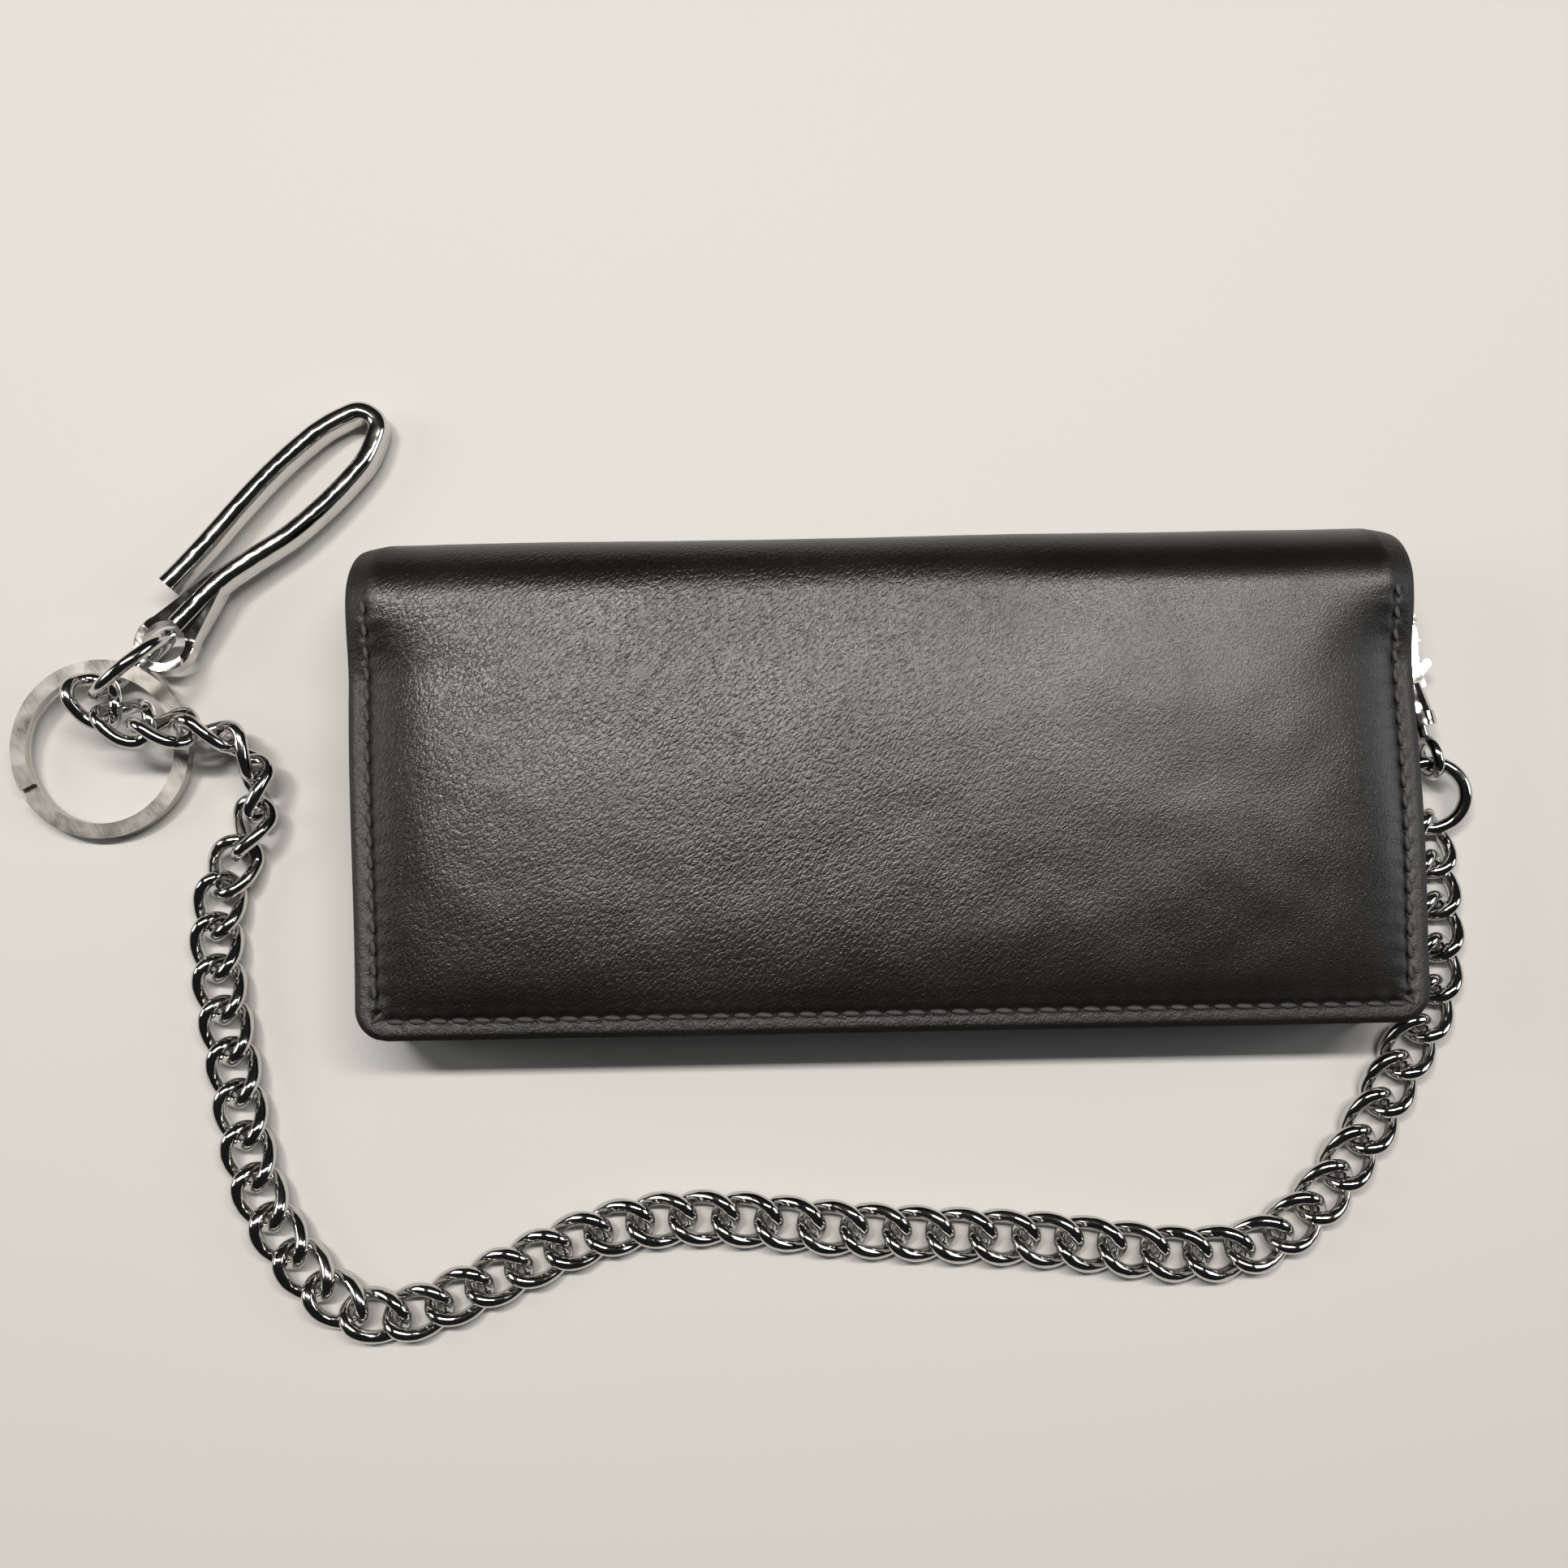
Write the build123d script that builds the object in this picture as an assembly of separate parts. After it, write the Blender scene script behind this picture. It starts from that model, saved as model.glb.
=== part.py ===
from build123d import *
import math
import os

os.makedirs("parts", exist_ok=True)

# Chain wallet: a long leather wallet lying closed, with its curb chain laid round it on the table.
# Millimetres. X runs along the fold, +Y points at the fold, +Z up. The origin is on the table, under
# the middle of the closed wallet. Angles are in degrees.

# ---- leather body
wallet_length = 198.0  # along the fold
wallet_depth = 96.5  # from the free edge to the outside of the fold
wallet_thickness = 27.5  # closed, over both covers
hide = 2.0  # cover leather
lining = 1.2  # liner and pocket leather
pocket_rise = 5.0  # a cover stands off its liner by this much: the bill pocket
border = 7.0  # flat stitched border outside the bulge
ramp = 4.0  # sloping side of the bulge
corner_radius = 6.0
mouth_back = 6.5  # bill pocket's mouth, short of the fold's start
drop_back = 3.0  # the border drops to the fold's level this far short of the fold's start
fold_split = 45.0  # half the angle of the fold's middle strip
fold_gap = 0.1  # between two strips of the cover at a fold line

# ---- thread
stitch_pitch = 4.0
stitch_length = 3.2
stitch_width = 1.0
stitch_height = 0.4
stitch_inset = 3.6  # stitch line from the edge

# ---- card slots, in the front half
card_leather = 1.0
card_top = 20.0  # highest slot's mouth, back from the fold's start
card_step = 12.0
card_slots = 4

# ---- zipped coin pocket, in the back half
coin_length = 160.0
coin_room = 3.0
coin_rim = 2.0
coin_slot_low = 14.0
coin_slot_high = 22.0
coin_facing = 7.0
tape_thickness = 0.6
tape_width = 8.0
tooth_length = 1.35
tooth_width = 1.1
tooth_height = 1.6
tooth_pitch = 2.4
zip_gap = 0.9  # between the two rows, for the slider's post
zip_clear = 0.25
slider_length = 7.5
slider_plate = 0.85
slider_side_clear = 0.4
post_width = 0.6
pull_length = 20.0
pull_width = 5.0
pull_thickness = 1.0

# ---- D-ring and its leather tab, at the right end of the fold
d_wire = 2.4
d_radius = 6.5
d_centre = (104.1, 38.0)
tab_leather = 1.2
tab_width = 5.0
tab_y = 40.0  # middle of the tab, on the D's bar
tab_edge = 0.6  # the liner's ear shows this much beside the tab
tab_tail = 20.0
ear_length = 24.0
bar_clear = 0.1

# ---- trigger snap with its swivel eye
snap_angle = 101.9  # from +X, eye towards claw
snap_eye = (110.2, 3.5)
snap_z = 6.5
snap_thick = 2.8
claw_inside = 2.5
claw_bar = 2.2
claw_at = 29.75
claw_nose = 2.6
collar_at = 6.3
collar_radius = 3.2
collar_length = 2.7
neck_radius = 2.3
fork_at = 14.0
fork_length = 5.4
cheek = 0.5
gate_pivot = (16.4, 1.6)
gate_pin_radius = 0.6
gate_bar = 1.7
thumb_ball = 0.85
thumb_at = (18.6, 4.6)
running_clear = 0.06
eye_wire = 2.1
eye_radius = 3.6

# ---- rings
o_ring_wire = 2.7
o_ring_radius = 6.65
o_ring_centre = (110.3, -3.9, 4.6)
o_ring_tilt = 11.0  # its far side is up in the swivel eye
o_ring_roll = -15.0

# ---- curb chain
link_wire = 2.6
link_width = 10.4
link_pitch = 8.3
link_play = 0.8
link_twist = 48.0  # from the middle of a link to each end
links_per_group = 4
link_groups = 13
first_rolls = [-20.0, -10.0]  # the first links lean towards the O-ring
route = [
    (110.4, -9.2, 3.2),
    (110.4, -23.0, 3.2),
    (109.8, -36.0, 3.2),
    (107.2, -47.0, 3.2),
    (101.0, -56.5, 3.2),
    (95.6, -66.0, 3.2),
    (89.0, -75.5, 3.2),
    (81.3, -84.2, 3.2),
    (71.5, -90.5, 3.2),
    (60.0, -92.2, 3.2),
    (47.4, -91.1, 3.2),
    (31.8, -88.9, 3.2),
    (16.0, -87.8, 3.2),
    (0.5, -86.8, 3.2),
    (-15.2, -85.4, 3.2),
    (-31.0, -83.6, 3.2),
    (-42.0, -83.4, 3.2),
    (-53.0, -84.8, 3.2),
    (-62.4, -87.8, 3.2),
    (-72.0, -92.0, 3.2),
    (-81.5, -96.2, 3.2),
    (-91.5, -100.2, 3.2),
    (-100.2, -100.9, 3.2),
    (-107.6, -97.2, 3.2),
    (-114.5, -90.2, 3.2),
    (-120.3, -81.6, 3.2),
    (-124.0, -72.6, 3.2),
    (-126.0, -63.3, 3.2),
    (-127.9, -54.0, 3.2),
    (-129.9, -44.5, 3.2),
    (-131.8, -34.9, 3.2),
    (-132.4, -25.3, 3.2),
    (-131.2, -15.6, 3.2),
    (-128.6, -7.6, 3.2),
]
# the last links climb over the key ring, each rolled further about the chain's line than the one before
climb = [
    (-127.3, -10.1, 4.6),
    (-124.3, -2.5, 5.5),
    (-124.3, 5.6, 6.6),
    (-129.0, 11.7, 9.5),
    (-136.6, 13.0, 12.2),
    (-144.8, 13.3, 12.8),
    (-152.2, 16.5, 11.0),
    (-158.2, 22.2, 10.5),
]
climb_rolls = [0.0, -40.0, -63.0, -80.0, -101.0, -127.0, -154.0, -176.0]

# ---- jump ring, split key ring and belt hook
jump_wire = 2.6
jump_radius = 9.3
jump_centre = (-148.3, 26.3, 10.2)
jump_turn = 40.0  # the ring's plane, from +X
jump_lean = 18.0
key_outer = 18.0
key_face = 3.0
key_coil = 1.35
key_gap = 0.1
key_centre = (-156.3, 10.7, 2.85)
key_tilt = 7.0  # its far side rides on the jump ring
hook_eye = (-143.7, 31.5, 4.0)
hook_angle = 48.8
hook_tilt = 3.3  # eye up on the jump ring, bend down on the table
hook_bar = 4.0
hook_height = 6.5
hook_eye_radius = 6.0
hook_eye_hole = 4.4
hook_eye_height = 3.2
hook_throat = 17.0  # the eye's plate runs into the bar here
hook_line = [
    (2.0, 0.0),
    (16.5, 0.1),
    (24.5, -1.7),
    (33.0, -4.0),
    (44.5, -5.0),
    (55.5, -4.6),
    (63.0, -1.0),
    (62.3, 4.2),
    (54.5, 7.2),
    (43.0, 8.4),
    (31.0, 8.2),
    (19.0, 7.4),
    (9.0, 7.4),
]

half_length = wallet_length / 2
half_depth = wallet_depth / 2
fold_radius = wallet_thickness / 2
fold_y = half_depth - fold_radius
mid_z = wallet_thickness / 2
liner_z = pocket_rise + hide
inner_z = liner_z + lining
mouth_y = fold_y - mouth_back


def save(name, *solids):
    """One sub-part to its own file; several solids stay separate in it."""
    shape = solids[0] if len(solids) == 1 else Compound(children=list(solids))
    export_step(shape, f"parts/{name}.step")


def panel(bottom, thickness, top, side=half_length):
    """A flat leather panel with rounded free corners, from the free edge up to y = top."""
    low = -half_depth
    sketch = Pos(0, (low + top) / 2) * Rectangle(2 * side, top - low)
    corners = sketch.vertices().sort_by(Axis.Y)[:2]
    return extrude(Pos(0, 0, bottom) * fillet(corners, corner_radius), thickness)


def bulge(shrink, floor):
    """The raised middle of a cover, as a block: narrow at its floor, wider at the border's level."""
    top = inner_z
    grow = ramp * (top - floor) / liner_z
    blocks = []
    for side, low in (
        (half_length - border - ramp - shrink, -half_depth + border + ramp + shrink),
        (half_length + 4 * ramp, fold_y - drop_back + shrink),
    ):
        high = fold_y + 6 * ramp
        sections = []
        for level, extra in ((floor, 0), (top, grow)):
            wide = RectangleRounded(2 * (side + extra), high - low + 2 * extra, corner_radius)
            sections.append(Pos(0, (low + high) / 2, level) * wide)
        blocks.append(loft(sections, ruled=True))
    return blocks[0] + blocks[1]


def fold_strip(start, end):
    """A length of the fold's half-round wall, between two angles about its centre line."""
    ring = Circle(fold_radius) - Circle(fold_radius - hide)
    reach = 2 * fold_radius
    corners = [(0, 0)]
    for angle in (start, (start + end) / 2, end):
        corners.append((reach * math.cos(math.radians(angle)), reach * math.sin(math.radians(angle))))
    wedge = make_face(Polyline(*corners, close=True))
    sketch = Plane.YZ * (Pos(fold_y, mid_z) * (ring & wedge))
    return extrude(sketch, half_length, both=True)


def other_side(shape):
    """The same piece in the other half of the closed wallet."""
    return mirror(shape, about=Plane.XY.offset(mid_z))


# ---- cover: one hide, in three strips that meet at the fold lines
split_gap = math.degrees(fold_gap / 2 / fold_radius)
cover_plate = panel(pocket_rise, hide, fold_y) + (bulge(0, 0) & panel(0, liner_z, fold_y))
cover_plate -= bulge(hide, hide)
back_cover = cover_plate + fold_strip(-90, -fold_split - split_gap)
front_cover = other_side(back_cover)
cover_fold = fold_strip(-fold_split + split_gap, fold_split - split_gap)
save("back_cover", back_cover)
save("front_cover", front_cover)
save("cover_fold", cover_fold)

# ---- liners: each closes a full-length bill pocket behind it
ear_depth = tab_y + tab_width / 2 + tab_edge - mouth_y
liner_ear = Box(ear_length, ear_depth, lining, align=(Align.MAX, Align.MIN, Align.MIN))
back_liner = panel(liner_z, lining, mouth_y) + Pos(half_length, mouth_y, liner_z) * liner_ear
front_liner = other_side(panel(liner_z, lining, mouth_y))
save("back_liner", back_liner)
save("front_liner", front_liner)

# ---- card slots: staggered strips, each with a thumb notch over each of its two cards
for slot in range(card_slots):
    top = fold_y - card_top - slot * card_step
    strip = panel(inner_z + slot * card_leather, card_leather, top)
    for side in (-1, 1):
        notch = Pos(side * half_length / 2, top + card_step, 0) * Cylinder(1.5 * card_step, 8 * inner_z)
        strip -= notch
    save(f"card_slot_{slot + 1}", other_side(strip))


def stitch_run():
    """Where each stitch of the three-sided seam lies: its middle and its heading."""
    side = half_length - stitch_inset
    low = -half_depth + stitch_inset
    turn = corner_radius - stitch_inset
    high = fold_y - drop_back - ramp - stitch_length / 2
    path = FilletPolyline((-side, high), (-side, low), (side, low), (side, high), radius=turn)
    count = round(path.length / stitch_pitch)
    places = []
    for k in range(count):
        at = (k + 0.5) / count
        point = path @ at
        heading = path % at
        places.append((point.X, point.Y, math.degrees(math.atan2(heading.Y, heading.X))))
    return places


def seam(level):
    stitch = extrude(SlotOverall(stitch_length, stitch_width), stitch_height)
    return [Pos(x, y, level) * Rot(0, 0, turn) * stitch for x, y, turn in stitch_run()]


back_thread = seam(pocket_rise - stitch_height)
save("back_thread", *back_thread)
save("front_thread", *[other_side(s) for s in back_thread])

# ---- coin pocket, sewn on the back liner, with a zip in its slot
coin_half = coin_length / 2
coin_top_z = inner_z + coin_room + lining
slot_y = (coin_slot_low + coin_slot_high) / 2


def pouch_wall(low, high, open_low, open_high):
    """A raised leather wall: a plate with rims down to the liner, left open where the zip runs."""
    block = Pos(0, (low + high) / 2, (inner_z + coin_top_z) / 2) * Box(
        coin_length, high - low, coin_top_z - inner_z
    )
    room_low = low - 1 if open_low else low + coin_rim
    room_high = high + 1 if open_high else high - coin_rim
    room = Pos(0, (room_low + room_high) / 2, inner_z + coin_room / 2) * Box(
        coin_length - 2 * coin_rim, room_high - room_low, coin_room
    )
    return block - room


coin_pocket = pouch_wall(-half_depth + border, coin_slot_low, False, True)
coin_strip = pouch_wall(coin_slot_high, coin_slot_high + coin_facing, True, False)
save("coin_pocket", coin_pocket)
save("coin_facing", coin_strip)

tape_z = inner_z + coin_room - tape_thickness
tooth_z = inner_z + coin_room - tape_thickness / 2
tape_length = coin_length - 2 * coin_rim - 2
tape_reach = zip_gap / 2 + tooth_length
tooth_count = int((tape_length - 2 * tooth_pitch) / tooth_pitch)
for name, side in (("near", -1), ("far", 1)):
    tape = Pos(0, slot_y + side * (tape_reach + tape_width / 2), tape_z + tape_thickness / 2) * Box(
        tape_length, min(tape_width, coin_facing), tape_thickness
    )
    tape_shift = side * (tape_width - min(tape_width, coin_facing)) / -2
    save(f"zip_tape_{name}", Pos(0, tape_shift, 0) * tape)
    teeth = []
    for k in range(tooth_count):
        x = (k - (tooth_count - 1) / 2) * tooth_pitch + side * tooth_pitch / 4
        y = slot_y + side * (zip_gap + tooth_length) / 2
        teeth.append(Pos(x, y, tooth_z) * Box(tooth_width, tooth_length, tooth_height))
    save(f"zip_teeth_{name}", *teeth)

# slider: two plates joined by a post that runs between the rows, with a crown for the pull
slider_x = -(coin_half - coin_rim - tooth_pitch - slider_length)
slider_width = coin_slot_high - coin_slot_low - 2 * slider_side_clear
plate_z = tooth_height / 2 + zip_clear + slider_plate / 2
slider = Box(slider_length / 2, post_width, 2 * plate_z)
for side in (-1, 1):
    slider += Pos(0, 0, side * plate_z) * Box(slider_length, slider_width, slider_plate)
crown_gap = pull_thickness + 2 * zip_clear
crown_z = plate_z + slider_plate / 2
crown_window = 2 * pull_thickness + 4 * zip_clear
for side in (-1, 1):
    leg_x = side * (crown_window / 2 + 0.4)
    slider += Pos(leg_x, 0, crown_z + crown_gap / 2) * Box(0.8, 1.6, crown_gap)
slider += Pos(0, 0, crown_z + crown_gap + 0.4) * Box(crown_window + 1.6, 1.6, 0.8)
slider_at = Pos(slider_x, slot_y, tooth_z)
save("zip_slider", slider_at * slider)

pull_z = crown_z + crown_gap / 2
pull_eye = crown_window / 2 + 0.8 + zip_clear
pull_plate = Pos(pull_length / 2 - pull_thickness / 2, 0) * RectangleRounded(pull_length, pull_width, 1.2)
pull_plate -= Pos(pull_thickness / 2 + pull_eye / 2, 0) * Rectangle(pull_eye, pull_width - 2 * pull_thickness)
pull_plate -= Pos(0.8 * pull_length, 0) * Circle(pull_width / 4)
pull = extrude(Pos(0, 0, -pull_thickness / 2) * pull_plate, pull_thickness)
save("zip_pull", slider_at * Pos(0, 0, pull_z) * pull)

# ---- D-ring: a straight bar closed by a half circle, hanging from a folded leather tab
bar_z = inner_z + tab_leather
d_bar = Rot(90, 0, 0) * Cylinder(d_wire / 2, 2 * d_radius)
d_arc = Edge.make_three_point_arc((0, d_radius, 0), (0, 0, -d_radius), (0, -d_radius, 0))
d_bow = sweep(Plane(origin=d_arc @ 0, z_dir=d_arc % 0) * Circle(d_wire / 2), path=d_arc)
d_ring = d_bar + d_bow
for side in (-1, 1):
    d_ring += Pos(0, side * d_radius, 0) * Sphere(d_wire / 2)
d_place = Pos(d_centre[0], d_centre[1], bar_z)
save("d_ring", d_place * d_ring)

loop_outer = d_wire / 2 + bar_clear + tab_leather
slope_end = half_length - d_centre[0] + 0.2  # the loop is flat again just outside the liner's end
tab_sketch = Circle(loop_outer) + make_face(
    Polyline(
        (0.0, loop_outer),
        (slope_end, tab_leather),
        (-tab_tail, tab_leather),
        (-tab_tail, -tab_leather),
        (slope_end, -tab_leather),
        (0.0, -loop_outer),
        close=True,
    )
)
tab_sketch -= Circle(d_wire / 2 + bar_clear)
tab_place = Pos(d_centre[0], tab_y, bar_z)
tab = tab_place * extrude(Plane.XZ * tab_sketch, tab_width / 2, both=True)
save("d_ring_tab", tab)

# ---- trigger snap, in its own frame: X from the eye to the claw, Y away from the wallet
snap_place = Pos(snap_eye[0], snap_eye[1], snap_z) * Rot(0, 0, snap_angle) * Rot(180, 0, 0)
claw_radius = claw_inside + claw_bar / 2


def bar_between(a, b, width, height):
    """A bar of rectangular section with rounded ends, flat in XY."""
    length = math.dist(a, b)
    turn = math.degrees(math.atan2(b[1] - a[1], b[0] - a[0]))
    middle = Pos((a[0] + b[0]) / 2, (a[1] + b[1]) / 2, -height / 2) * Rot(0, 0, turn)
    return middle * extrude(SlotCenterToCenter(length, width), height)


claw_ring = Circle(claw_radius + claw_bar / 2) - Circle(claw_inside)
claw_ring &= Pos(claw_radius, 0) * Rectangle(2 * claw_radius, 4 * claw_radius)
claw = Pos(claw_at, 0, -snap_thick / 2) * extrude(claw_ring, snap_thick)
fork_end = fork_at + fork_length
claw += Pos((fork_end + claw_at) / 2, -claw_radius, 0) * Box(claw_at - fork_end, claw_bar, snap_thick)
claw += Pos(claw_at - claw_nose / 2, claw_radius, 0) * Box(claw_nose, claw_bar, snap_thick)
fork_low = -claw_radius - claw_bar / 2
fork_high = gate_pivot[1] + 2 * gate_pin_radius
fork = Pos((fork_at + fork_end) / 2, (fork_low + fork_high) / 2, 0) * Box(
    fork_length, fork_high - fork_low, snap_thick
)
gate_room = snap_thick - 2 * cheek
slot_low = gate_pivot[1] - gate_bar - 0.5  # room for the gate's heel to swing
fork -= Pos(fork_at + cheek + fork_length, slot_low + claw_bar + 2, 0) * Box(
    2 * fork_length, 2 * claw_bar + 4, gate_room
)
swivel_hole = Rot(0, 90, 0) * Cylinder(eye_wire / 2 + running_clear, 40)
neck_length = fork_at - collar_at - collar_length
neck = Pos(collar_at + collar_length + neck_length / 2 + 0.5, 0, 0) * Rot(0, 90, 0) * Cone(
    collar_radius - 0.2, neck_radius, neck_length + 1.0
)
collar = Pos(collar_at + collar_length / 2, 0, 0) * Rot(0, 90, 0) * Cylinder(collar_radius, collar_length)
head_room = Pos(collar_at + collar_length + 1.6, 0, 0) * Rot(0, 90, 0) * Cylinder(
    eye_wire / 2 + 0.6 + running_clear, 1.6 + 2 * running_clear
)
stem_hole = Pos(collar_at + collar_length / 2, 0, 0) * Rot(0, 90, 0) * Cylinder(
    eye_wire / 2 + running_clear, 2 * collar_length
)
pin_hole = Pos(gate_pivot[0], gate_pivot[1], 0) * Cylinder(gate_pin_radius, 2 * snap_thick)
snap_body = collar + neck + fork + claw - head_room - stem_hole - pin_hole
save("snap_body", snap_place * snap_body)
save("snap_pin", snap_place * Pos(gate_pivot[0], gate_pivot[1], 0) * Cylinder(gate_pin_radius, snap_thick))

gate_height = gate_room * 0.45
gate_z = -gate_room / 2 + gate_height / 2 + running_clear
gate_end = (claw_at - claw_nose - 0.35 - gate_bar / 2, claw_radius)
gate = bar_between(gate_pivot, gate_end, gate_bar, gate_height)
gate += bar_between(gate_pivot, thumb_at, gate_bar, gate_height)
gate = Pos(0, 0, gate_z) * gate
gate += Pos(thumb_at[0], thumb_at[1], 0) * Sphere(thumb_ball)
gate += Pos(gate_end[0] - 1.5, gate_end[1], 0) * Box(2.4, gate_bar, gate_room)
gate -= Pos(gate_pivot[0], gate_pivot[1], 0) * Cylinder(gate_pin_radius + running_clear, 2 * snap_thick)
save("snap_gate", snap_place * gate)

spring_wire = 0.22
spring_path = Helix(pitch=0.28, height=0.56, radius=gate_pin_radius + 0.3)
spring = sweep(
    Plane(origin=spring_path @ 0, z_dir=spring_path % 0) * Circle(spring_wire / 2), path=spring_path
)
spring_z = gate_z + gate_height / 2 + spring_wire / 2 + 0.08
save("snap_spring", snap_place * Pos(gate_pivot[0], gate_pivot[1], spring_z) * spring)

eye_ring = Rot(90, 0, 0) * Torus(eye_radius, eye_wire / 2)
stem_length = collar_at + collar_length + 1.6 - eye_radius
stem = Pos(eye_radius + stem_length / 2, 0, 0) * Rot(0, 90, 0) * Cylinder(eye_wire / 2, stem_length)
head = Pos(collar_at + collar_length + 1.6, 0, 0) * Rot(0, 90, 0) * Cylinder(eye_wire / 2 + 0.6, 1.6)
save("swivel_eye", snap_place * (eye_ring + stem + head))

o_ring = Pos(*o_ring_centre) * Rot(o_ring_tilt, 0, 0) * Rot(0, o_ring_roll, 0) * Torus(o_ring_radius, o_ring_wire / 2)
save("o_ring", o_ring)


# ---- curb chain: each link is an oval of round wire, twisted so that the chain lies flat
def link_centre_line():
    """Points round one link's wire: an oval whose ends are turned opposite ways about X."""
    end = (link_pitch + link_wire + link_play) / 2
    bow = (link_width - link_wire) / 2
    run = end - bow
    points = []
    for side in (1, -1):
        for step in range(-3, 4):
            angle = math.radians(step * 28.0)
            x = side * (run + bow * math.cos(angle))
            y = side * bow * math.sin(angle)
            turn = math.radians(link_twist * x / end)
            points.append((x, y * math.cos(turn), y * math.sin(turn)))
    return points


def make_link():
    """One closed link: its wire is swept in two halves."""
    line = Spline(*link_centre_line(), periodic=True)
    halves = []
    for half in (line.trim(0, 0.5), line.trim(0.5, 1)):
        section = Plane(origin=half @ 0, z_dir=half % 0) * Circle(link_wire / 2)
        halves.append(sweep(section, path=half))
    return halves[0] + halves[1]


def walk(line, pitch, count):
    """Joint places along the route, each one pitch from the last in a straight line."""
    places = [line @ 0]
    at = 0.0
    for _ in range(count):
        low = at
        high = min(1.0, at + 3 * pitch / line.length)
        for _ in range(40):
            middle = (low + high) / 2
            if (line @ middle - places[-1]).length < pitch:
                low = middle
            else:
                high = middle
        at = (low + high) / 2
        places.append(line @ at)
    return places


def link_places():
    """The frame of each link: middle of two joints, X along them, then rolled."""
    flat_links = links_per_group * link_groups - len(climb)
    joints = walk(Spline(*route), link_pitch, flat_links) + [Vector(*point) for point in climb]
    rolls = first_rolls + [0.0] * (flat_links - len(first_rolls)) + climb_rolls
    frames = []
    for a, b, roll in zip(joints, joints[1:], rolls):
        along = (b - a).normalized()
        side = Vector(0, 0, 1).cross(along)
        level = Plane(origin=(a + b) / 2, x_dir=along, z_dir=along.cross(side))
        frames.append(level * Rot(roll, 0, 0))
    return joints, frames


link = make_link()
joints, frames = link_places()
for group in range(link_groups):
    first = group * links_per_group
    members = [frame * link for frame in frames[first : first + links_per_group]]
    save(f"chain_{group + 1:02d}", *members)

# ---- jump ring
jump_place = Pos(*jump_centre) * Rot(0, 0, jump_turn) * Rot(90 + jump_lean, 0, 0)
save("jump_ring", jump_place * Torus(jump_radius, jump_wire / 2))


# ---- split key ring: two flat coils of one strip, stepped into each other at the split
def coil_arc(start, end, bottom, height):
    ring = Circle(key_outer) - Circle(key_outer - key_face)
    reach = 3 * key_outer
    corners = [(0, 0)]
    for k in range(5):
        angle = math.radians(start + (end - start) * k / 4)
        corners.append((reach * math.cos(angle), reach * math.sin(angle)))
    wedge = make_face(Polyline(*corners, close=True))
    return Pos(0, 0, bottom) * extrude(ring & wedge, height)


key_height = 2 * key_coil + key_gap
key_ring = coil_arc(8, 352, 0, key_coil) + coil_arc(8, 352, key_coil + key_gap, key_coil)
key_ring += coil_arc(-1, 9, 0, key_height)
key_ring += coil_arc(-9, 0, 0, key_coil)
key_place = Pos(*key_centre) * Rot(key_tilt, 0, 0) * Rot(0, 0, 215)
save("key_ring", key_place * key_ring)

# ---- belt hook: a tall flat bar bent back on itself, widened to an eye
hook_place = Pos(*hook_eye) * Rot(0, 0, hook_angle) * Rot(0, hook_tilt, 0)


def corner_radii(points):
    """The widest arc at each corner that its two runs allow."""
    radii = []
    for a, b, c in zip(points, points[1:], points[2:]):
        before = math.atan2(b[1] - a[1], b[0] - a[0])
        after = math.atan2(c[1] - b[1], c[0] - b[0])
        turn = abs(math.remainder(after - before, 2 * math.pi))
        radii.append(0.45 * min(math.dist(a, b), math.dist(b, c)) / math.tan(turn / 2))
    return radii


hook_path = FilletPolyline(*hook_line, radius=corner_radii(hook_line))
hook_section = Plane(origin=hook_path @ 0, x_dir=(0, 0, 1), z_dir=hook_path % 0) * (
    Pos(hook_height / 2, 0) * RectangleRounded(hook_height, hook_bar, hook_bar / 2 - 0.2)
)
hook = sweep(hook_section, path=hook_path)
hook += Cylinder(hook_eye_radius, hook_eye_height, align=(Align.CENTER, Align.CENTER, Align.MIN))
throat_wide = Pos(0, hook_eye_height / 2) * Rectangle(2 * hook_eye_radius - 0.4, hook_eye_height)
throat_narrow = Pos(0.2, hook_height / 2) * Rectangle(hook_bar - 0.6, hook_height - 1.2)
hook += loft([Plane.YZ * throat_wide, Plane.YZ.offset(hook_throat) * throat_narrow])
hook -= Cylinder(hook_eye_hole, 4 * hook_height)
save("belt_hook", hook_place * hook)
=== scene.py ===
import math

import bpy
from mathutils import Matrix, Vector, noise


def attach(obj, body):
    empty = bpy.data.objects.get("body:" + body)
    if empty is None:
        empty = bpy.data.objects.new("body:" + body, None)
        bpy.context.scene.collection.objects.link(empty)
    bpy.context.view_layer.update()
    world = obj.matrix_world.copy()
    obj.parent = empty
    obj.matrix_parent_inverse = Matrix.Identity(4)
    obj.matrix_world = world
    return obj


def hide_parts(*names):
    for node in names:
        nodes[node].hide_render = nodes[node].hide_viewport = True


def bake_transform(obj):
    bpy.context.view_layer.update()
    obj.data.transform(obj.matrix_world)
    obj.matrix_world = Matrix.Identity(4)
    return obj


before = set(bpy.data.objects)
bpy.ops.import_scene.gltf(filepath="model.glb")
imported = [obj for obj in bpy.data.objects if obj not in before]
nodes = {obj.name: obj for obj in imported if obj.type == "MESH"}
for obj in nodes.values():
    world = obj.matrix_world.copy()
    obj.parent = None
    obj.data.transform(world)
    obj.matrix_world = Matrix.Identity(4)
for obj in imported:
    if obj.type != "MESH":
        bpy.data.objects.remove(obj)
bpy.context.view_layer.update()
mm = 0.001

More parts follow.
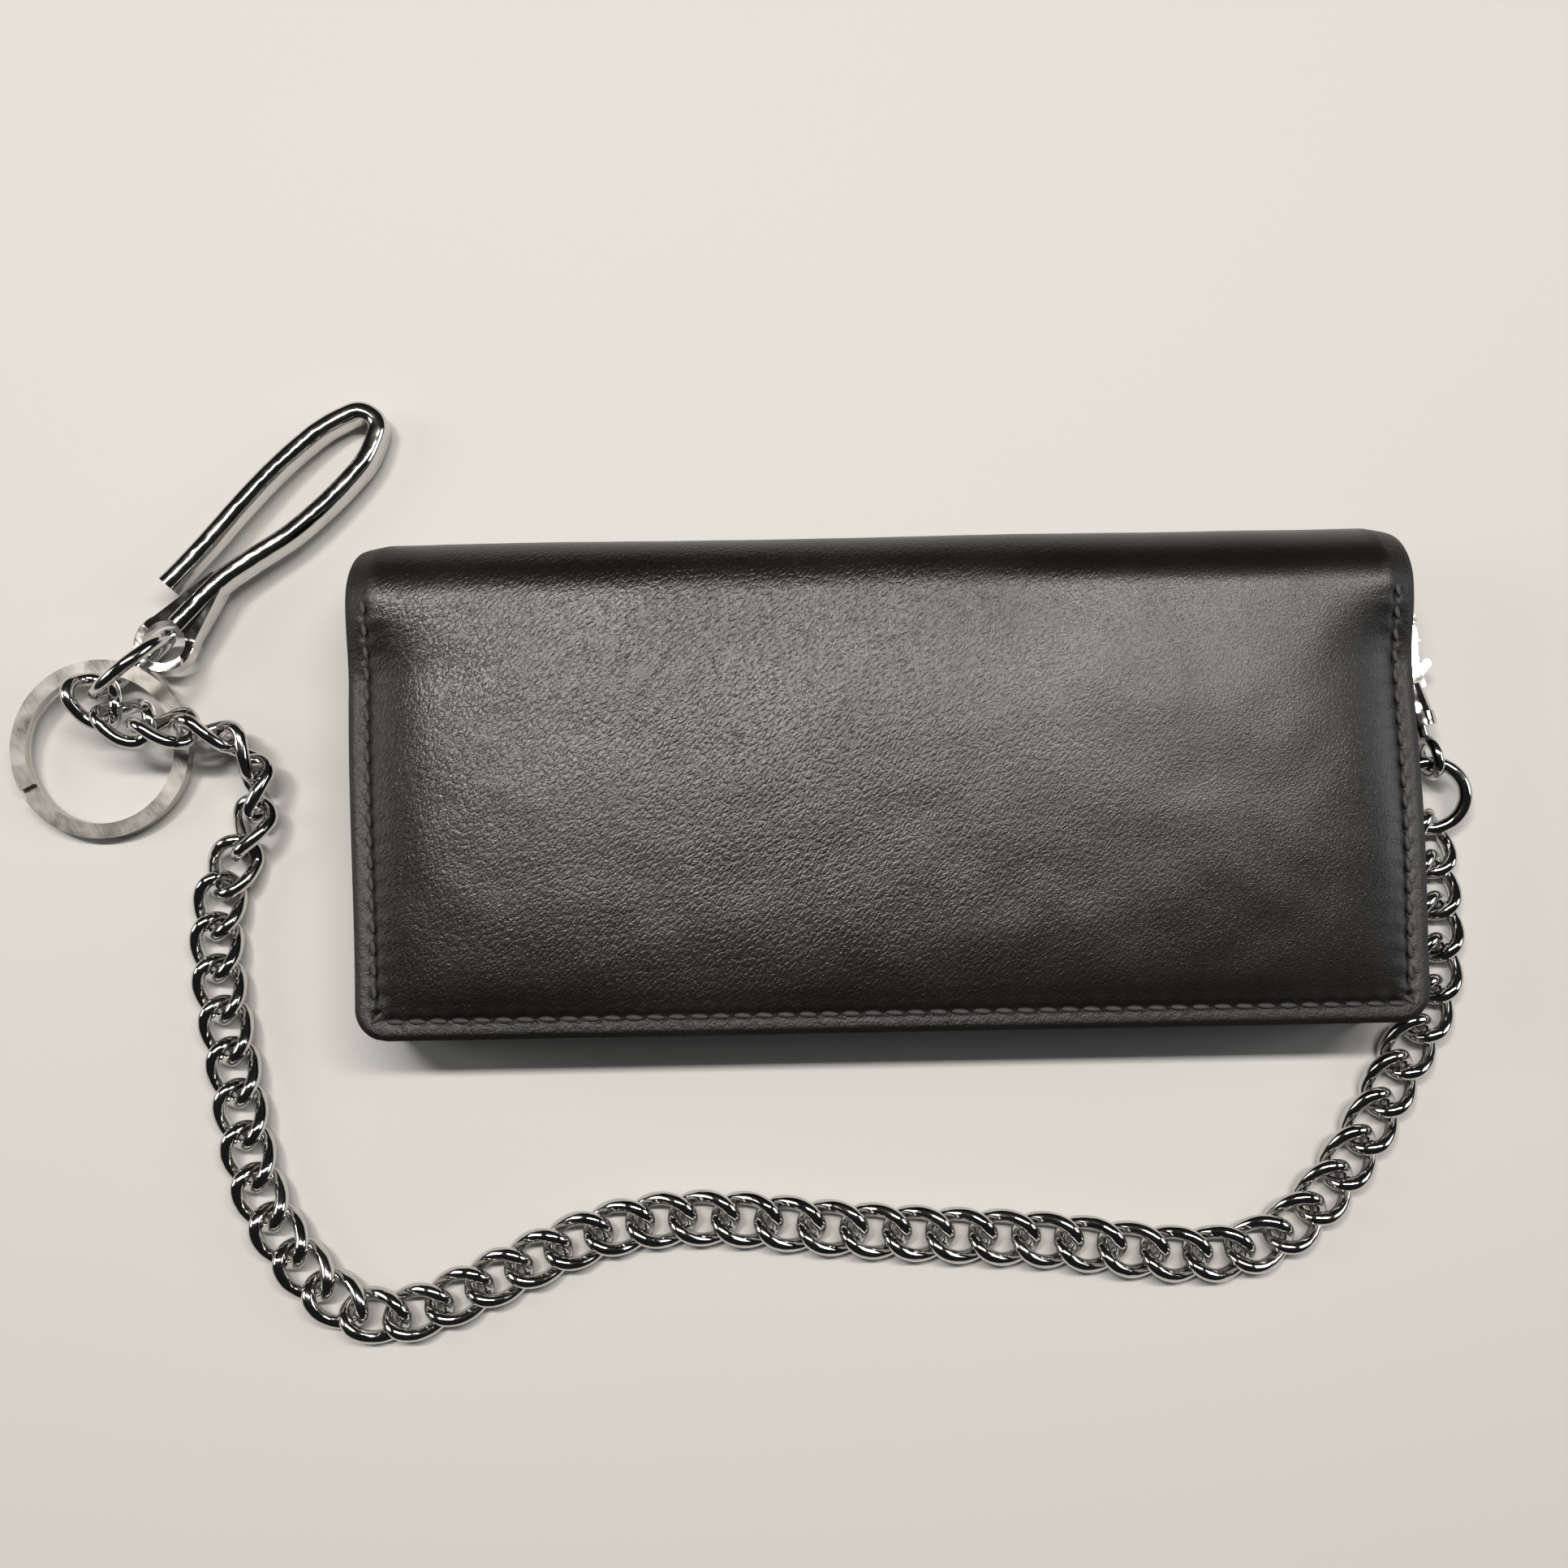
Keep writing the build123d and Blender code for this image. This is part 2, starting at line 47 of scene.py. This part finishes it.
# camera, floor and lights
view = {
    "place": (-0.01966, -0.04144, 0.29995),
    "turn": (8.147, 0.022, -1.061),  # degrees
    "lens": 34.12,
}
camera = bpy.data.objects.new("viewCamera", bpy.data.cameras.new("viewCamera"))
camera.location = view["place"]
camera.rotation_euler = [math.radians(a) for a in view["turn"]]
camera.data.lens = view["lens"]
camera.data.sensor_width = 36
camera.data.clip_start = 0.01
bpy.context.scene.collection.objects.link(camera)
bpy.context.scene.camera = camera


def deselectAll():
    for thing in bpy.context.selected_objects:
        thing.select_set(False)
    bpy.context.view_layer.objects.active = None


def softLight(name, place, aim, size, power, tint=(1, 1, 1)):
    lamp = bpy.data.lights.new(name, "AREA")
    lamp.shape = "RECTANGLE"
    lamp.size, lamp.size_y = size
    lamp.energy = power
    lamp.color = tint
    thing = bpy.data.objects.new(name, lamp)
    thing.location = place
    thing.rotation_euler = (Vector(aim) - Vector(place)).to_track_quat("-Z", "Y").to_euler()
    bpy.context.scene.collection.objects.link(thing)
    return thing


lights = {
    "stripLight": ((0.10, 0.262, 1.0), (0.10, 0.05, 0.02), (0.95, 0.07), 27.0, (1.0, 0.94, 0.87)),
    "leftStripLight": ((-0.36, 0.26, 1.0), (-0.36, 0.05, 0.02), (0.22, 0.07), 9.0, (1.0, 0.95, 0.89)),
    "leftLight": ((-1.1, 0.15, 0.6), (0, 0, 0), (0.5, 0.5), 7.0, (1.0, 0.98, 0.95)),
    "rightLight": ((1.1, 0.10, 0.6), (0, 0, 0), (0.5, 0.5), 7.0, (0.97, 0.98, 1.0)),
}
for name, (place, aim, size, power, tint) in lights.items():
    softLight(name, place, aim, size, power, tint)

world = bpy.data.worlds.new("paleRoom")
world.use_nodes = True
world.node_tree.nodes["Background"].inputs["Color"].default_value = (0.62, 0.64, 0.66, 1)
backdrop = world.node_tree.nodes["Background"]
seen = world.node_tree.nodes.new("ShaderNodeLightPath")
glow = world.node_tree.nodes.new("ShaderNodeMapRange")
glow.inputs["To Min"].default_value = 0.05  # light on the object
glow.inputs["To Max"].default_value = 2.4  # the pale wall behind it
world.node_tree.links.new(seen.outputs["Is Camera Ray"], glow.inputs["Value"])
world.node_tree.links.new(glow.outputs["Result"], backdrop.inputs["Strength"])
bpy.context.scene.world = world
bpy.context.scene.view_settings.view_transform = "Standard"
bpy.context.scene.view_settings.exposure = -1.2


# materials
def newFinish(name, colour, metallic, roughness, **sockets):
    finish = bpy.data.materials.new(name)
    finish.use_nodes = True
    tree = finish.node_tree
    shader = tree.nodes["Principled BSDF"]
    shader.inputs["Base Color"].default_value = (*colour, 1)
    shader.inputs["Metallic"].default_value = metallic
    shader.inputs["Roughness"].default_value = roughness
    for socket, value in sockets.items():
        shader.inputs[socket.replace("_", " ")].default_value = value
    place = tree.nodes.new("ShaderNodeTexCoord")
    return finish, tree, shader, place.outputs["Object"]


def addNode(tree, kind, inputs=None, **settings):
    node = tree.nodes.new(kind)
    for key, value in settings.items():
        setattr(node, key, value)
    for key, value in (inputs or {}).items():
        if isinstance(value, bpy.types.NodeSocket):
            tree.links.new(value, node.inputs[key])
        else:
            node.inputs[key].default_value = value
    return node


def noiseAt(tree, where, scale, detail=3.0, rough=0.5):
    made = addNode(tree, "ShaderNodeTexNoise", {
        "Vector": where, "Scale": scale, "Detail": detail, "Roughness": rough})
    return made.outputs["Fac"]


def spread(tree, source, low, high, toLow, toHigh):
    made = addNode(tree, "ShaderNodeMapRange", {
        "Value": source, "From Min": low, "From Max": high, "To Min": toLow, "To Max": toHigh})
    return made.outputs["Result"]


def sums(tree, kind, a, b):
    return addNode(tree, "ShaderNodeMath", {0: a, 1: b}, operation=kind).outputs[0]


def bump(tree, shader, height, strength, distance, before=None):
    inputs = {"Height": height, "Strength": strength, "Distance": distance}
    if before is not None:
        inputs["Normal"] = before
    made = addNode(tree, "ShaderNodeBump", inputs)
    tree.links.new(made.outputs["Normal"], shader.inputs["Normal"])
    return made.outputs["Normal"]


def mixColours(tree, factor, dark, light):
    made = addNode(tree, "ShaderNodeMix", data_type="RGBA")
    tree.links.new(factor, made.inputs[0])
    made.inputs[6].default_value = (*dark, 1)
    made.inputs[7].default_value = (*light, 1)
    return made.outputs[2]


# coordinates turned first and then drawn out along their own axes
def turned(tree, where, turn, stretch):
    made = addNode(tree, "ShaderNodeMapping", {"Vector": where}, vector_type="TEXTURE")
    made.inputs["Rotation"].default_value = [math.radians(a) for a in turn]
    made.inputs["Scale"].default_value = stretch
    return made.outputs["Vector"]


leather = {
    "dark": (0.0022, 0.0021, 0.0021),
    "light": (0.0060, 0.0056, 0.0053),
    "crackle": 1150,  # cells per metre across; drawn out along the diagonal
    "creased": (-0.035, 0.012, 0.0275),  # where the creases are strongest
    "fine": 1900,
    "rough": (0.27, 0.36),
    "grain": 0.00008,
}


# grain cells with sunk lines between them, drawn out along one direction
def crackle(tree, where, turn, squeeze, scale, wide):
    drift = addNode(tree, "ShaderNodeTexNoise", {"Vector": where, "Scale": scale * 0.9, "Detail": 2.0})
    moved = addNode(tree, "ShaderNodeVectorMath", {0: drift.outputs["Color"], 1: (0.0007, 0.0007, 0.0007)},
                    operation="MULTIPLY")
    spot = addNode(tree, "ShaderNodeVectorMath", {0: where, 1: moved.outputs[0]}, operation="ADD")
    cells = addNode(tree, "ShaderNodeTexVoronoi",
                    {"Vector": turned(tree, spot.outputs[0], (0, 0, turn), squeeze), "Scale": scale},
                    feature="DISTANCE_TO_EDGE")
    return spread(tree, cells.outputs["Distance"], 0.0, wide, 0.0, 1.0)


def makeLeather(name, spec, edges=False):
    finish, tree, shader, where = newFinish(name, spec["dark"], 0.0, 0.42, Specular_IOR_Level=0.45)
    cloud = noiseAt(tree, where, 38, 4)
    grit = noiseAt(tree, where, 3200, 2)
    long = crackle(tree, where, 52, (2.3, 1.0, 1.0), spec["crackle"], 0.26)
    fine = crackle(tree, where, 30, (1.4, 1.0, 1.0), spec["fine"], 0.3)
    near = addNode(tree, "ShaderNodeVectorMath", {0: where, 1: spec["creased"]}, operation="DISTANCE")
    patch = spread(tree, near.outputs["Value"], 0.010, 0.110, 1.0, 0.15)
    patch = sums(tree, "MULTIPLY", patch, spread(tree, noiseAt(tree, where, 18, 1), 0.2, 0.8, 0.55, 1.0))
    height = sums(tree, "ADD", sums(tree, "MULTIPLY", long, patch), sums(tree, "MULTIPLY", fine, 0.22))
    height = sums(tree, "ADD", height, sums(tree, "MULTIPLY", grit, 0.20))
    if edges:
        worn = addNode(tree, "ShaderNodeAttribute", attribute_name="border").outputs["Fac"]
        coarse = noiseAt(tree, where, 900, 5, 0.7)
        height = sums(tree, "ADD", height, sums(tree, "MULTIPLY", sums(tree, "MULTIPLY", coarse, worn), 2.5))
    bump(tree, shader, height, 0.8, spec["grain"])
    polish = sums(tree, "ADD", cloud, sums(tree, "MULTIPLY", grit, 0.25))
    rough = spread(tree, polish, 0.35, 0.95, *spec["rough"])
    if edges:
        rough = sums(tree, "ADD", rough, sums(tree, "MULTIPLY", worn, 0.10))
    tree.links.new(rough, shader.inputs["Roughness"])
    tree.links.new(mixColours(tree, cloud, spec["dark"], spec["light"]), shader.inputs["Base Color"])
    return finish


nickel = {"colour": (0.66, 0.65, 0.63), "rough": (0.06, 0.17), "cast": 0.00025}
satin = {"colour": (0.56, 0.54, 0.51), "rough": (0.24, 0.42), "cast": 0.00003}


def makeMetal(name, spec, scratch=0.000006):
    finish, tree, shader, where = newFinish(name, spec["colour"], 1.0, 0.12)
    smear = noiseAt(tree, where, 160, 4)
    lines = noiseAt(tree, turned(tree, where, (10, 25, 35), (1.0, 12.0, 3.0)), 5200, 2)
    tree.links.new(spread(tree, sums(tree, "ADD", smear, sums(tree, "MULTIPLY", lines, 0.35)),
                          0.45, 0.95, *spec["rough"]), shader.inputs["Roughness"])
    wave = noiseAt(tree, where, 240, 1)
    soft = addNode(tree, "ShaderNodeBump", {"Height": wave, "Strength": 1.0, "Distance": spec["cast"]})
    bump(tree, shader, sums(tree, "ADD", lines, smear), 0.35, scratch, soft.outputs[0])
    darker = [c * 0.86 for c in spec["colour"]]
    tree.links.new(mixColours(tree, smear, darker, spec["colour"]), shader.inputs["Base Color"])
    return finish


threadLook = {"dark": (0.010, 0.010, 0.011), "light": (0.045, 0.045, 0.048)}


def makeThread(name, spec):
    finish, tree, shader, where = newFinish(name, spec["dark"], 0.0, 0.55)
    strands = addNode(tree, "ShaderNodeTexWave", {"Vector": turned(tree, where, (0, 0, -30), (1, 1, 1)),
                                                   "Scale": 900.0, "Distortion": 1.5})
    colour = mixColours(tree, strands.outputs["Fac"], spec["dark"], spec["light"])
    tree.links.new(colour, shader.inputs["Base Color"])
    bump(tree, shader, strands.outputs["Fac"], 0.6, 0.00008)
    return finish


tapeLook = {"dark": (0.010, 0.010, 0.011), "light": (0.035, 0.035, 0.037)}


def makeTape(name, spec):
    finish, tree, shader, where = newFinish(name, spec["dark"], 0.0, 0.85, Sheen_Weight=0.2)
    across = addNode(tree, "ShaderNodeTexWave", {"Vector": where, "Scale": 380.0}, bands_direction="X")
    along = addNode(tree, "ShaderNodeTexWave", {"Vector": where, "Scale": 380.0}, bands_direction="Y")
    weave = sums(tree, "MAXIMUM", across.outputs["Fac"], along.outputs["Fac"])
    tree.links.new(mixColours(tree, weave, spec["dark"], spec["light"]), shader.inputs["Base Color"])
    bump(tree, shader, weave, 0.7, 0.0001)
    return finish


innerLeather = dict(leather, dark=(0.007, 0.0066, 0.0064), light=(0.016, 0.015, 0.0145), rough=(0.48, 0.62))
finishes = {
    "hide": makeLeather("blackHide", leather, edges=True),
    "lining": makeLeather("innerLeather", innerLeather),
    "thread": makeThread("waxedThread", threadLook),
    "tape": makeTape("zipTape", tapeLook),
    "nickel": makeMetal("polishedNickel", nickel),
    "ring_steel": makeMetal("satinSteel", satin),
    "spring_steel": makeMetal("springSteel", satin),
}
print("finishes made")


# cover leather
cover = {
    "half": 99.0, "flare": (2.7, 2.4), "low": -48.25, "foldY": 34.5, "radius": 13.75,
    "border": 22.5, "top": 27.5, "hide": 1.9, "corner": 6.0,
    "sideSwell": 8.5, "nearSwell": 4.5, "dome": 80.0, "foldRamp": (18.0, 35.0),
    "stitch": 3.5, "pitch": 4.0, "sideGroove": 1.0, "nearGroove": 0.4, "pucker": 0.17,
    "fine": 0.38, "fineReach": 9.0, "step": 0.85, "foldSteps": 24,  # mesh spacing, closer by the seams
    "dent": 0.35, "dentLong": 34.0,  # soft dents along the fold
    "lowSwell": 0.28, "fineSwell": 0.10,
}


def smooth(low, high, value):
    t = min(max((value - low) / (high - low), 0.0), 1.0)
    return t * t * (3 - 2 * t)


# stations along a length, closer together at its stitched ends
def spacing(length, fineStart, fineEnd):
    places, at = [0.0], 0.0
    while at < length - 1e-6:
        nearEnd = (fineStart and at < cover["fineReach"]) or (fineEnd and at > length - cover["fineReach"])
        at = min(at + (cover["fine"] if nearEnd else cover["step"]), length)
        places.append(at)
    return places


# half the cover's length at this depth; the top cover spreads towards the fold
def coverHalf(x, y, upper):
    if not upper:
        return cover["half"]
    if x < 0:
        return cover["half"] + cover["flare"][0] * smooth(-52, 22, y)
    return cover["half"] + 0.8 + (cover["flare"][1] - 0.8) * smooth(-50, -5, y)


# height of the cover's outside over the table, with its border, pillow, groove and puckers
def coverPoint(x, y):
    dx, dy = cover["half"] - abs(x), y - cover["low"]
    corner = cover["corner"]
    edge = min(dx, dy)
    if dx < corner and dy < corner:
        edge = corner - math.hypot(corner - dx, corner - dy)
    toFold = smooth(*cover["foldRamp"], y)
    sideRise = 1 - math.exp(-max(dx - 2.2, 0) / cover["sideSwell"])
    sideRise += toFold * (1 - sideRise) * (0.72 + 0.28 * smooth(0, 5, dx))
    dome = 1 - max(1 - dy / cover["dome"], 0) ** 2
    nearRise = 0.3 * (1 - math.exp(-max(dy - 2.6, 0) / cover["nearSwell"])) + 0.7 * dome
    z = cover["border"] + (cover["top"] - cover["border"]) * sideRise * nearRise
    z += cover["lowSwell"] * noise.noise(Vector((x / 31.0, y / 22.0, 3.1))) * smooth(8, 20, edge)
    z += cover["fineSwell"] * noise.noise(Vector((x / 9.0, y / 8.0, 7.7))) * smooth(5, 14, edge)
    fade = 1 - smooth(31.0, 36.0, y)
    offLine = edge - cover["stitch"]
    along = y if dx < dy else x
    beat = math.cos(2 * math.pi * along / cover["pitch"])
    depth = cover["sideGroove"] if dx < dy else cover["nearGroove"]
    z -= depth * math.exp(-(offLine / 0.8) ** 2) * (0.75 + 0.25 * beat) * fade
    if offLine > 0:
        z -= cover["pucker"] * (1 + beat) * math.exp(-offLine / 1.8) * fade
    z -= 0.45 * (1 - smooth(-0.1, 1.1, edge))
    return z, edge


def makeHide(name, upper):
    spec = cover
    arc = math.pi / 2 * spec["radius"]
    columns = spacing(2 * spec["half"], True, True)
    rows = spacing(spec["foldY"] - spec["low"], True, False)
    rows += [rows[-1] + arc * k / spec["foldSteps"] for k in range(1, spec["foldSteps"] + 1)]
    deselectAll()
    bpy.ops.mesh.primitive_grid_add(x_subdivisions=len(columns) - 1, y_subdivisions=len(rows) - 1, size=2)
    piece = bpy.context.active_object
    piece.name = name
    mesh = piece.data
    count = len(columns)
    edges = []
    for index, vertex in enumerate(mesh.vertices):
        x = columns[index % count] - spec["half"]
        along = rows[index // count]
        y = along + spec["low"]
        inCorner = spec["corner"] - along
        width = spec["half"]
        if inCorner > 0:
            width -= spec["corner"] - math.sqrt(spec["corner"] ** 2 - inCorner ** 2)
        x *= width / spec["half"]
        wide = coverHalf(x, y, upper) / spec["half"]
        if y <= spec["foldY"] + 1e-6:
            z, edge = coverPoint(x, y)
            x *= wide
        else:
            angle = (y - spec["foldY"]) / spec["radius"]
            edge = spec["half"] - abs(x)
            top, _ = coverPoint(x, spec["foldY"])
            lost = (spec["top"] - top) * (1 - math.sin(angle) * 0.5)
            r = spec["radius"] - lost
            dent = noise.noise(Vector((x / spec["dentLong"], angle, 2.2)))
            r -= spec["dent"] * dent * math.sin(2 * angle)
            x *= 1 + (wide - 1) * math.cos(angle)
            y = spec["foldY"] + r * math.sin(angle)
            z = spec["radius"] + r * math.cos(angle)
        if not upper:
            z = 2 * spec["radius"] - z
        vertex.co = (x * mm, y * mm, z * mm)
        edges.append(1 - smooth(3.4, 7.0, edge))
    border = mesh.attributes.new("border", "FLOAT", "POINT")
    border.data.foreach_set("value", edges)
    if not upper:
        mesh.flip_normals()
    wall = piece.modifiers.new("wall", "SOLIDIFY")
    wall.thickness = spec["hide"] * mm
    wall.offset = -1
    bpy.ops.object.modifier_apply(modifier=wall.name)
    bpy.ops.object.shade_smooth_by_angle(angle=math.radians(50))
    mesh.materials.clear()
    mesh.materials.append(finishes["hide"])
    return piece


hideFront = makeHide("hideFront", True)
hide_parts("front_cover", "cover_fold")
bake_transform(hideFront)
hideBack = makeHide("hideBack", False)
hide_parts("back_cover")
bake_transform(hideBack)
print("cover leather made")


# seams
seam = {"long": 3.3, "wide": 1.15, "tall": 0.8, "inset": 3.5, "pitch": 4.0, "far": 33.0, "lean": 7.0,
        "proud": 0.12}


def seamPlaces(spec):
    side = cover["half"] - spec["inset"]
    low = cover["low"] + spec["inset"]
    turn = cover["corner"] - spec["inset"]
    places = []
    for sign in (-1, 1):
        y = spec["far"]
        while y > low + turn:
            places.append((sign * side, y, 90.0))
            y -= spec["pitch"]
        places.append((sign * (side - 0.3 * turn), low + 0.3 * turn, 90 + sign * 45))
    x, count = -side + turn + 1.6, 0
    while x < side - turn:
        places.append((x, low, 0.0))
        x += spec["pitch"]
    return places


def makeSeam(name, upper, body, node):
    spec = seam
    deselectAll()
    bpy.ops.mesh.primitive_uv_sphere_add(segments=10, ring_count=6, radius=0.5)
    first = bpy.context.active_object
    first.data.transform(Matrix.Rotation(math.radians(90), 4, "Y"))
    first.data.transform(Matrix.Diagonal((spec["long"] * mm, spec["wide"] * mm, spec["tall"] * mm, 1)))
    copies = []
    for index, (x, y, turn) in enumerate(seamPlaces(spec)):
        wobble = noise.noise(Vector((x / 5.0, y / 5.0, index)))
        z, _ = coverPoint(x, y)
        z += spec["proud"]
        sign = 1
        x *= coverHalf(x, y, upper) / cover["half"]
        if not upper:
            z, sign = 2 * cover["radius"] - z, -1
        made = first.copy()
        made.data = first.data.copy()
        lean = turn + spec["lean"] * (1 if abs(turn) > 45 else -0.4) + 3 * wobble
        tip = Matrix.Rotation(math.radians(4 * wobble * sign), 4, "Y")
        made.data.transform(Matrix.Rotation(math.radians(lean), 4, "Z") @ tip)
        made.data.transform(Matrix.Translation((x * mm, y * mm, z * mm)))
        bpy.context.scene.collection.objects.link(made)
        copies.append(made)
    bpy.data.objects.remove(first)
    deselectAll()
    for made in copies:
        made.select_set(True)
    bpy.context.view_layer.objects.active = copies[0]
    bpy.ops.object.join()
    piece = bpy.context.active_object
    piece.name = name
    piece.data.materials.clear()
    piece.data.materials.append(finishes["thread"])
    piece.data.shade_smooth()
    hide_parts(node)
    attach(piece, body)
    return piece


makeSeam("seamFront", True, "front", "front_thread")
makeSeam("seamBack", False, "back", "back_thread")
print("seams made")

# inner leather and tape
inside = {
    "back_liner": ("back", "lining", 0.35),
    "front_liner": ("front", "lining", 0.35),
    "card_slot_1": ("front", "lining", 0.30),
    "card_slot_2": ("front", "lining", 0.30),
    "card_slot_3": ("front", "lining", 0.30),
    "card_slot_4": ("front", "lining", 0.30),
    "coin_pocket": ("back", "lining", 0.55),
    "coin_facing": ("back", "lining", 0.55),
    "zip_tape_near": ("back", "tape", 0.15),
    "zip_tape_far": ("back", "tape", 0.15),
    "d_ring_tab": ("back", "lining", 0.35),
}


# a cut panel with its edges turned over and burnished, in place of the plain one
def softCopy(node, body, finish, rounding):
    piece = nodes[node].copy()
    piece.data = nodes[node].data.copy()
    piece.parent = None
    for key in list(piece.keys()):
        if key.startswith("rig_"):
            del piece[key]
    piece.name = "soft_" + node
    bpy.context.scene.collection.objects.link(piece)
    deselectAll()
    piece.select_set(True)
    bpy.context.view_layer.objects.active = piece
    bpy.ops.object.mode_set(mode="EDIT")
    bpy.ops.mesh.select_all(action="SELECT")
    bpy.ops.mesh.remove_doubles(threshold=0.000002)
    bpy.ops.mesh.dissolve_limited(angle_limit=math.radians(1.5))
    bpy.ops.object.mode_set(mode="OBJECT")
    turned = piece.modifiers.new("turnedEdge", "BEVEL")
    turned.width = rounding * mm
    turned.segments = 3
    turned.limit_method = "ANGLE"
    turned.angle_limit = math.radians(40)
    bpy.ops.object.modifier_apply(modifier=turned.name)
    bpy.ops.object.shade_smooth_by_angle(angle=math.radians(35))
    piece.data.materials.clear()
    piece.data.materials.append(finishes[finish])
    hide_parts(node)
    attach(piece, body)
    return piece


for node, (body, finish, rounding) in inside.items():
    softCopy(node, body, finish, rounding)
print("inner leather made")

# metal
for node in nodes.values():
    for place in node.material_slots:
        if place.material and place.material.name in finishes:
            place.material = finishes[place.material.name]
print("metal finished")

# floor
deselectAll()
bpy.ops.mesh.primitive_plane_add(size=2.2, location=(0, 0, 0))
floor = bpy.context.active_object
floor.name = "paleFloor"
floorFinish, floorTree, floorShader, floorPlace = newFinish("paleFloor", (0.52, 0.52, 0.51), 0.0, 0.75)
floor.data.materials.append(floorFinish)
